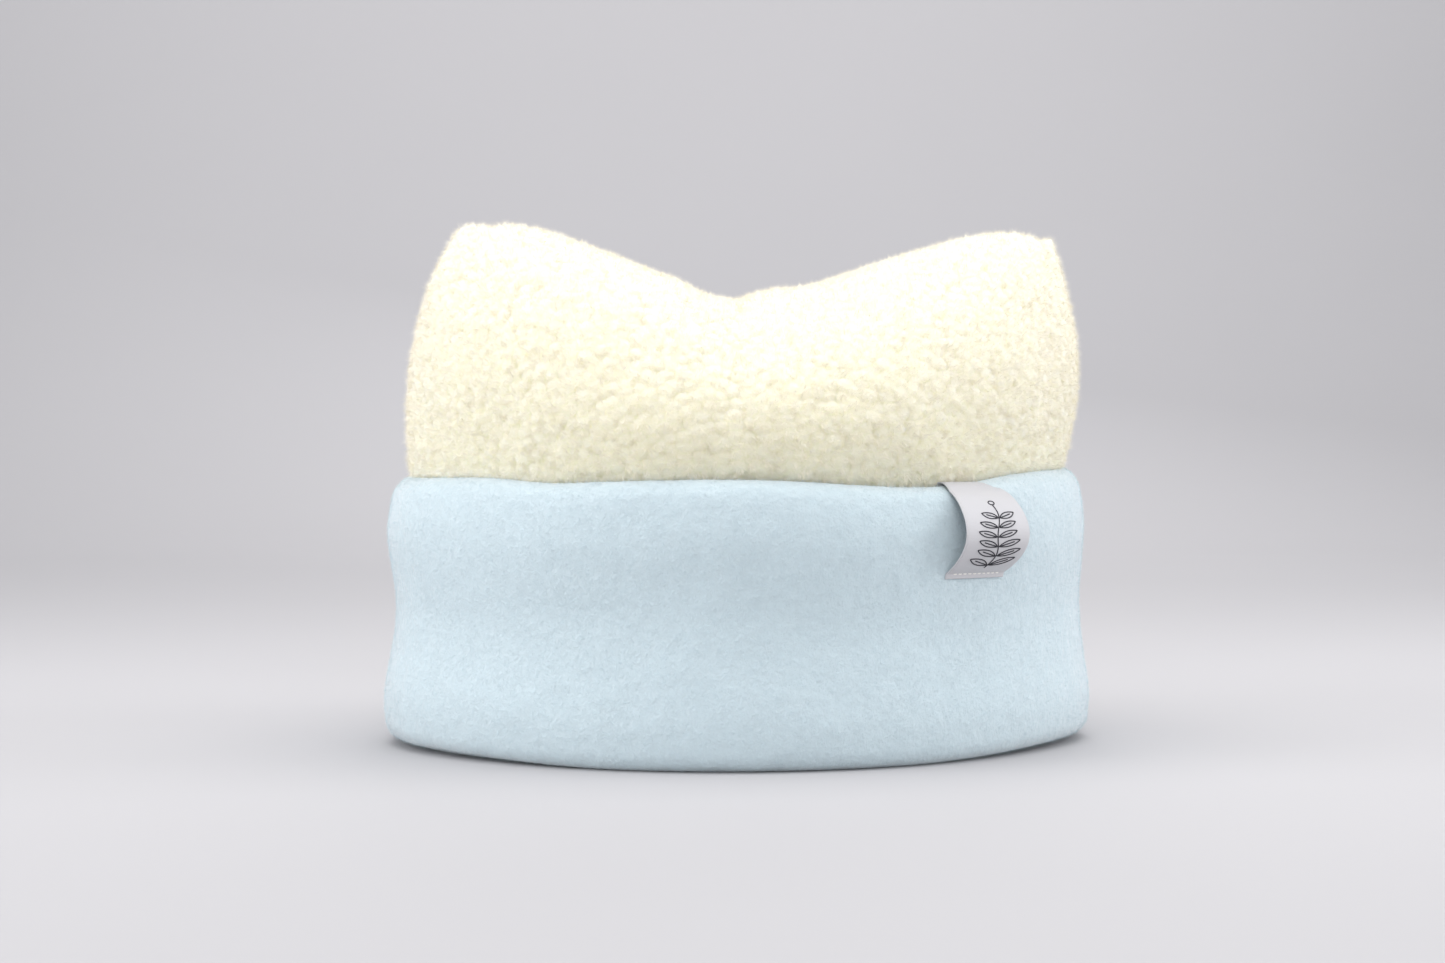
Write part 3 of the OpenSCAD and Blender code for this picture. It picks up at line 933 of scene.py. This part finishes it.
def cuff_pieces():
    s = sizes()
    t = s.fleece / MM
    base, normal, girth = ring(CUFF_COLUMNS)
    line = cuff_line(0.95, 5.0)
    side = section_normals(line)
    skin = line + side * t / 2
    slit_line = cuff_line(4.0, 6.0)
    slit = slit_line - section_normals(slit_line) * t / 2
    section = np.concatenate([skin, slit[::-1]])
    x = np.repeat(section[:, 0][:, None], CUFF_COLUMNS, 1)
    z = np.repeat(section[:, 1][:, None], CUFF_COLUMNS, 1)
    place = np.repeat(base[None], len(section), 0)
    x, z = cuff_shape(x, z, place)
    behind = np.abs(base[:, 0]) + np.where(base[:, 1] > 0, 0, 1e3)
    groove = 1.5 * hump(behind, 0, 1.3)[None, :]
    on_skin = (np.arange(len(section)) < len(skin))[:, None]
    outward_skin = np.concatenate([side, np.zeros((len(slit), 2))])
    x = x - outward_skin[:, :1] * groove * on_skin
    z = z - outward_skin[:, 1:] * groove * on_skin
    z = np.maximum(z, 0.0)
    grid = place + normal[None] * x[..., None]
    grid[..., 2] = z
    seen = slice(6, len(skin) - 6)
    felt = soft_noise(grid[seen], 3.2, 41) * 0.13 + soft_noise(grid[seen], 9.0, 43) * 0.22
    grid[seen] += grid_normals(grid)[seen] * felt[..., None]
    grid[..., 2] = np.maximum(grid[..., 2], 0.0)
    rows, columns = grid.shape[:2]
    faces = weave_grid(rows, columns, loop_rows=True, loop_columns=True)
    piece = cloth("cuff_fleece", grid.reshape(-1, 3), [faces], cuff_finish())
    dress(piece, None, "cuff_fleece", "cuff_band")

    wrapped = np.concatenate([grid, grid[:, :1]], 1)
    lined = grid_normals(wrapped)
    first = int(np.argmax(skin[:, 0] > -TURN_RADIUS))
    past_fold = (skin[first:, 0] < -CAVITY_INSET * 0.4) & (skin[first:, 1] < CUFF_HEIGHT - 6)
    last = first + int(np.argmax(past_fold))
    half = columns // 2
    for name, part, seed in (("front", slice(0, half + 1), 51), ("back", slice(half, columns + 1), 52)):
        patch = wrapped[first:last, part]
        dress(
            fibres(f"cuff_nap_{name}", patch, lined[first:last, part], s.nap_fibres, s.nap_length / MM,
                   0.07, 55, 0.4, np.random.default_rng(seed), nap_fibre_finish()), None, "cuff_fleece")
    return piece


def cuff_seam_pieces():
    """Thread in the groove at the middle of the back, and the overlocked edge inside the brim."""
    heights = np.linspace(5, CUFF_HEIGHT - 4, 60)
    x, z = cuff_shape(np.full(60, -1.7), heights, np.tile([0.0, HALF_DEPTH, 0.0], (60, 1)))
    line = np.stack([np.zeros(60), HALF_DEPTH + x, z], -1)
    outward = np.tile([0.0, 1.0, 0.0], (60, 1))
    across = np.array([1.0, 0.0, 0.0])
    back = seam_stitches("cuff_back_seam_thread", line, outward, across, half_width=0.5,
                         lift=0.3, radius=0.18)
    tape = seam_tape_wide("cuff_back_seam_tape", line - outward * 0.2, across)
    join([tape, back], "cuff_back_seam_thread")
    dress(tape, thread_finish(), "cream_thread", "cuff_back_seam")

    loops = 190
    count = loops * 4
    low, high = BRIM_SEAM_LOW[2], BRIM_SEAM_HIGH[2]
    base, normal, _ = ring(count)
    phase = np.arange(count) % 4
    height = np.choose(phase, [low + 0.4, low + 0.8, high - 0.8, high - 0.4])
    loop_depth, needle_depth, edge_depth, strip_depth, strip_thickness = 0.65, 0.55, 0.45, 0.28, 0.24
    inset = CAVITY_INSET + loop_depth + np.choose(phase, [0.0, 0.25, 0.25, 0.0])
    zigzag = base - normal * inset[:, None]
    zigzag[:, 2] = height
    needle = base - normal * (CAVITY_INSET + needle_depth)
    needle[:, 2] = high - 3.2 + 0.25 * np.sin(np.arange(count) * math.pi / 2)
    edge = base - normal * (CAVITY_INSET + edge_depth)
    edge[:, 2] = low + 0.5
    threads = [thread_tube(f"brim_thread_{k}", path, 0.3, closed=True)
               for k, path in enumerate((zigzag, needle, edge))]
    brim = join(threads, "brim_overlock")
    band = base[::4] - normal[::4] * (CAVITY_INSET + strip_depth)
    outer = band + normal[::4] * strip_thickness
    strip = np.stack([band + [0, 0, low], band + [0, 0, (low + high) / 2], band + [0, 0, high],
                      outer + [0, 0, high], outer + [0, 0, low]])
    backing = cloth("brim_backing", strip.reshape(-1, 3),
                    [weave_grid(5, len(band), loop_rows=True, loop_columns=True)[:, ::-1]], thread_finish())
    join([brim, backing], "brim_overlock")
    dress(brim, thread_finish(), "cream_thread", "brim_seam")


def seam_tape_wide(name, line, across):
    """The butted ends of the band under the back seam: a low rounded welt."""
    grid = np.stack([line - across * 0.55, line + [0, 0.18, 0], line + across * 0.55, line - [0, 0.5, 0]], 1)
    rows, columns = grid.shape[:2]
    faces = weave_grid(rows, columns, loop_columns=True)
    ends = np.array([[3, 2, 1, 0], [(rows - 1) * 4 + k for k in range(4)]])
    piece = cloth(name, grid.reshape(-1, 3), [np.concatenate([faces, ends])], thread_finish())
    return face_outward(piece)


# ---------------------------------------------------------------- label


FOLD_FROM, FOLD_TO = 0.45, 0.55    # shares of the label's length between which it is folded
LABEL_CLEARANCE = 0.35             # between the label and the cuff's fleece


def label_frame():
    """Middle of the label on the oval: its angle, its lower end and the height of its stitches."""
    points = points_of("label")
    turn = np.arctan2(points[:, 0], SIDE_CENTRE - points[:, 1])
    return (turn.min() + turn.max()) / 2, LABEL_FOOT, (STITCH_LOW[2] + STITCH_HIGH[2]) / 2


def label_surface(u, v):
    """A point on the label's face. u is across it in millimetres and v is the share of its length.

    v is 0 at the front end, 0.5 on the fold and 1 at the back end."""
    s = sizes()
    angle, low, stitch = label_frame()
    t = s.fleece / MM
    half_fold = t + SLIT / 2
    top = CUFF_HEIGHT - half_fold - FOLD_PUFF
    on_front, on_fold = v <= FOLD_FROM, (v > FOLD_FROM) & (v <= FOLD_TO)
    front = np.clip(v / FOLD_FROM, 0, 1)
    over = np.clip((v - FOLD_FROM) / (FOLD_TO - FOLD_FROM), 0, 1) * math.pi
    back = np.clip((v - FOLD_TO) / (1 - FOLD_TO), 0, 1)

    def by_part(on_the_front, on_the_fold, on_the_back):
        return np.where(on_front, on_the_front, np.where(on_fold, on_the_fold, on_the_back))

    height = by_part(low + (top - low) * front, top + (half_fold + FOLD_PUFF) * np.sin(over),
                     top - (top - low) * back * 0.9)
    out = by_part(0.0, half_fold * (np.cos(over) - 1), -2 * half_fold)
    place = np.broadcast_to([SIDE_RADIUS * math.sin(angle), SIDE_CENTRE - SIDE_RADIUS * math.cos(angle), 0.0],
                            np.shape(height) + (3,))
    cuff_out, z = cuff_shape(out, height, place)
    clear = LABEL_CLEARANCE * by_part(1.0, np.cos(over), -1.0)
    z = z + LABEL_CLEARANCE * by_part(0.0, np.sin(over), 0.0)
    standing = np.clip((height - stitch) / (top - stitch + 2.5), 0, 1)
    bulge = s.label_bulge / MM * np.sin(math.pi * standing ** 0.9) ** 0.85 * (v <= 0.5)
    reach = SIDE_RADIUS + cuff_out + clear + bulge * (1 + 0.004 * u)
    skew, shift = 3.2, 1.0
    lean = skew * np.where(v <= 0.5, (height - low) / (top - low), 1.0)
    turn = angle + (u + lean - shift) / SIDE_RADIUS
    return np.stack([reach * np.sin(turn), SIDE_CENTRE - reach * np.cos(turn), z], -1)


def label_point(u, v, lift):
    """A point that stands lift millimetres off the label's face."""
    step = 0.002
    across = label_surface(u + 0.1, v) - label_surface(u - 0.1, v)
    along = label_surface(u, v + step) - label_surface(u, v - step)
    return label_surface(u, v) + unit(np.cross(across, along)) * np.asarray(lift)[..., None]


def label_pieces():
    s = sizes()
    half = s.label_width / MM / 2
    across = np.linspace(-half, half, 27)
    along = np.concatenate([np.linspace(0, FOLD_FROM, 60), np.linspace(0.455, FOLD_TO, 18),
                            np.linspace(0.57, 1, 20)])
    u, v = np.meshgrid(across, along)
    grid = label_surface(u, v)
    rows, columns = grid.shape[:2]
    piece = cloth("woven_label", grid.reshape(-1, 3), [weave_grid(rows, columns)], label_finish())
    layer = piece.data.uv_layers.new(name="ribbon")
    corners = np.empty(len(piece.data.loops), dtype=np.int32)
    piece.data.loops.foreach_get("vertex_index", corners)
    travelled = lengths_along(grid[:, columns // 2])
    flat = np.stack([u, np.repeat(travelled[:, None], columns, 1)], -1).reshape(-1, 2) * MM
    layer.data.foreach_set("uv", flat[corners].astype(np.float32).ravel())
    take(piece)
    solid = piece.modifiers.new("thickness", "SOLIDIFY")
    solid.thickness = 0.45 * MM
    solid.offset = 1
    bpy.ops.object.modifier_apply(modifier=solid.name)
    edge = piece.modifiers.new("edge", "BEVEL")
    edge.width = 0.12 * MM
    edge.segments = 1
    edge.limit_method = "ANGLE"
    bpy.ops.object.modifier_apply(modifier=edge.name)
    dress(piece, None, "woven_label", "label")

    motif = label_motif()

    _, low, stitch = label_frame()
    pitch = s.stitch_pitch / MM
    count = int((2 * half - 3) / pitch)
    stitches = []
    share = FOLD_FROM * (stitch - low) / (CUFF_HEIGHT - s.fleece / MM - SLIT / 2 - 1.0 - low)
    for k in range(count):
        middle = (k - (count - 1) / 2) * pitch
        ends = np.linspace(middle - pitch * 0.36, middle + pitch * 0.36, 9)
        dive = np.abs(np.linspace(-1, 1, 9)) ** 4
        path = label_point(ends, np.full(9, share), 0.62 - 0.45 * dive)
        stitches.append(thread_tube(f"label_stitch_{k}", path, 0.24, closed=False, sides=8))
    row = join(stitches, "label_stitch_row")
    dress(row, thread_finish(), "cream_thread", "label_stitching")


def label_motif():
    """Plain woven decoration: a wavy stem with paired leaves and a ring at its end."""
    foot_share, tip_share, wave = 0.07, 0.415, 26
    leaf_width, leaf_spread, leaf_climb = 1.55, 0.82, 0.42
    rise = np.linspace(foot_share, tip_share, 60)
    stem = 0.9 * np.sin((rise - foot_share) * wave)
    lines = [(stem, rise, False)]
    turn = np.linspace(0, 2 * math.pi, 28, endpoint=False)
    front_length = 52.0
    length_scale = FOLD_FROM / front_length
    for k, start in enumerate(np.linspace(0.085, 0.345, 6)):
        for side in (-1, 1):
            reach = (10.8 - 0.6 * k) * (0.92 if side < 0 else 1.0)
            along = (1 - np.cos(turn)) / 2
            across = np.sin(turn) * leaf_width * np.sin(math.pi * along) ** 0.35
            foot = np.interp(start, rise, stem)
            u = foot + side * (0.4 + along * reach * leaf_spread) - side * across * 0.45
            v = start + (along * reach * leaf_climb + across) * length_scale
            lines.append((u, v, True))
            vein = np.linspace(0.0, 0.72, 6)
            lines.append((foot + side * (0.4 + vein * reach * leaf_spread),
                          start + vein * reach * leaf_climb * length_scale, False))
    lines.append((np.interp(tip_share, rise, stem) + 1.2 * np.cos(turn),
                  0.428 + 1.2 * length_scale * np.sin(turn), True))
    tubes = []
    for k, (u, v, closed) in enumerate(lines):
        path = label_point(u, v, np.full(len(u), 0.5))
        tubes.append(thread_tube(f"motif_{k}", path, 0.19, closed=closed))
    motif = join(tubes, "label_motif")
    return dress(motif, motif_finish(), "woven_label")


# ---------------------------------------------------------------- stage


def look_at(thing, target):
    thing.rotation_euler = (Vector(target) - thing.location).to_track_quat("-Z", "Y").to_euler()


def lamp(name, place, target, size, power):
    light = bpy.data.lights.new(name, "AREA")
    light.shape = "RECTANGLE"
    light.size, light.size_y = size
    light.energy = power
    thing = bpy.data.objects.new(name, light)
    bpy.context.scene.collection.objects.link(thing)
    thing.location = place
    look_at(thing, target)


def stage_finish(name, colour):
    finish = Finish(name)
    cloud = finish.noise(3.0, 2.0)
    tint = finish.mix(cloud, rgba(colour, 0.985), rgba(colour, 1.015))
    return finish.close(base_color=tint, roughness=0.75, specular_ior_level=0.2)


def build_stage():
    """A table that sweeps up into its backdrop behind the hat, and soft lamps all round."""
    half_width, front, bend, radius, height = 3.5, -3.0, 1.3, 1.0, 1.8
    deselect()
    bpy.ops.mesh.primitive_plane_add(size=2.0, location=(0, (front + bend) / 2, 0))
    sweep = bpy.context.object
    sweep.name = "sweep"
    sweep.scale = (half_width, (bend - front) / 2, 1)
    bpy.ops.object.transform_apply(location=True, rotation=False, scale=True)
    bpy.ops.object.mode_set(mode="EDIT")
    bpy.ops.mesh.select_all(action="DESELECT")
    bpy.ops.mesh.select_mode(type="EDGE")
    bpy.ops.object.mode_set(mode="OBJECT")
    for edge in sweep.data.edges:
        edge.select = all(sweep.data.vertices[v].co.y > bend - 0.001 for v in edge.vertices)
    bpy.ops.object.mode_set(mode="EDIT")
    bpy.ops.mesh.spin(steps=32, angle=math.pi / 2, center=(0, bend, radius), axis=(-1, 0, 0))
    bpy.ops.mesh.extrude_region_move(TRANSFORM_OT_translate={"value": (0, 0, height)})
    bpy.ops.mesh.select_all(action="SELECT")
    bpy.ops.mesh.remove_doubles(threshold=0.0001)
    bpy.ops.object.mode_set(mode="OBJECT")
    bpy.ops.object.shade_smooth()
    sweep.data.materials.append(stage_finish("matte sweep", colours().floor))

    lamp("overhead softbox", (0.0, -0.04, 0.95), (0, 0, 0.1), (1.1, 0.8), 8.3)
    lamp("front fill", (-0.2, -1.7, 0.8), (0, 0, 0.08), (1.6, 1.0), 9.8)
    lamp("left lamp", (-1.0, -0.15, 0.4), (0, 0, 0.08), (0.5, 0.8), 5.2)
    lamp("right lamp", (1.0, -0.15, 0.4), (0, 0, 0.08), (0.5, 0.8), 5.2)
    lamp("backdrop lamp", (0.3, 1.2, 1.9), (0.3, 2.3, 1.15), (3.0, 0.4), 31.0)
    lamp("back fill", (0.4, 1.6, 0.9), (0, 0, 0.08), (1.4, 0.8), 5.0)

    world = bpy.data.worlds.new("studio air")
    world.use_nodes = True
    background = world.node_tree.nodes["Background"]
    background.inputs["Color"].default_value = (0.95, 0.96, 1.0, 1.0)
    background.inputs["Strength"].default_value = 0.55
    bpy.context.scene.world = world


def build_camera():
    azimuth = math.radians(-7.0)
    distance, height, aside, aim = 0.7, 0.093, -0.0053, 0.0873
    camera = bpy.data.cameras.new("camera")
    camera.sensor_width = 36.0
    camera.lens = 50.87
    camera.clip_start = 0.01
    thing = bpy.data.objects.new("camera", camera)
    bpy.context.scene.collection.objects.link(thing)
    thing.location = (distance * math.sin(azimuth), -distance * math.cos(azimuth), height)
    look_at(thing, (aside * math.cos(azimuth), aside * math.sin(azimuth), aim))
    bpy.context.scene.camera = thing
    view = bpy.context.scene.view_settings
    view.view_transform = "Standard"
    view.look = "None"
    view.exposure = 0.0


# ---------------------------------------------------------------- operators


class HAT_OT_crown_shell(bpy.types.Operator):
    """Sew the sherpa shell of the crown, front and back, with its pile"""

    bl_idname = "hat.crown_shell"
    bl_label = "Crown shell"

    def execute(self, context):
        shell_panel("front", 3, mirrored=False)
        shell_panel("back", 17, mirrored=True)
        return {"FINISHED"}


class HAT_OT_crown_lining(bpy.types.Operator):
    """Sew the fleece lining of the crown, front and back"""

    bl_idname = "hat.crown_lining"
    bl_label = "Crown lining"

    def execute(self, context):
        lining_panel("front", 61, mirrored=False)
        lining_panel("back", 67, mirrored=True)
        return {"FINISHED"}


class HAT_OT_crown_seams(bpy.types.Operator):
    """Stitch the top and side seams of the shell and the lining"""

    bl_idname = "hat.crown_seams"
    bl_label = "Crown seams"

    def execute(self, context):
        crown_seam("shell", SHELL_INSET, 0.0, SHELL_THICKNESS)
        crown_seam("lining", LINING_INSET, SHELL_THICKNESS + LAYER_GAP, LINING_THICKNESS + 1.6)
        return {"FINISHED"}


class HAT_OT_cuff(bpy.types.Operator):
    """Fold the fleece band and turn it up round the crown, with its nap"""

    bl_idname = "hat.cuff"
    bl_label = "Cuff"

    def execute(self, context):
        cuff_pieces()
        return {"FINISHED"}


class HAT_OT_cuff_seams(bpy.types.Operator):
    """Stitch the cuff's back seam and overlock the brim's inner edge"""

    bl_idname = "hat.cuff_seams"
    bl_label = "Cuff seams"

    def execute(self, context):
        cuff_seam_pieces()
        return {"FINISHED"}


class HAT_OT_label(bpy.types.Operator):
    """Fold the woven label over the cuff and stitch it down"""

    bl_idname = "hat.label"
    bl_label = "Label"

    def execute(self, context):
        label_pieces()
        return {"FINISHED"}


class HAT_OT_stage(bpy.types.Operator):
    """Set the table, the backdrop, the lights and the camera"""

    bl_idname = "hat.stage"
    bl_label = "Stage"

    def execute(self, context):
        build_stage()
        build_camera()
        return {"FINISHED"}


STEPS = (HAT_OT_stage, HAT_OT_crown_shell, HAT_OT_crown_lining, HAT_OT_crown_seams, HAT_OT_cuff,
         HAT_OT_cuff_seams, HAT_OT_label)


class HAT_PT_panel(bpy.types.Panel):
    """The hat's steps, sizes and colours"""

    bl_label = "Fleece Hat"
    bl_idname = "HAT_PT_panel"
    bl_space_type = "VIEW_3D"
    bl_region_type = "UI"
    bl_category = "Fleece Hat"

    def draw(self, context):
        for step in STEPS:
            self.layout.operator(step.bl_idname)
        for group in (context.scene.hat_sizes, context.scene.hat_colours):
            box = self.layout.box()
            for name in group.bl_rna.properties.keys():
                if name not in ("rna_type", "name"):
                    box.prop(group, name)


CLASSES = (HatSizes, HatColours, *STEPS, HAT_PT_panel)


def register():
    for cls in CLASSES:
        bpy.utils.register_class(cls)
    bpy.types.Scene.hat_sizes = bpy.props.PointerProperty(type=HatSizes)
    bpy.types.Scene.hat_colours = bpy.props.PointerProperty(type=HatColours)


def unregister():
    del bpy.types.Scene.hat_colours
    del bpy.types.Scene.hat_sizes
    for cls in reversed(CLASSES):
        bpy.utils.unregister_class(cls)


def main():
    register()
    bpy.ops.hat.stage()
    bpy.ops.hat.crown_shell()
    bpy.ops.hat.crown_lining()
    bpy.ops.hat.crown_seams()
    bpy.ops.hat.cuff()
    bpy.ops.hat.cuff_seams()
    bpy.ops.hat.label()


if __name__ == "__main__":
    main()
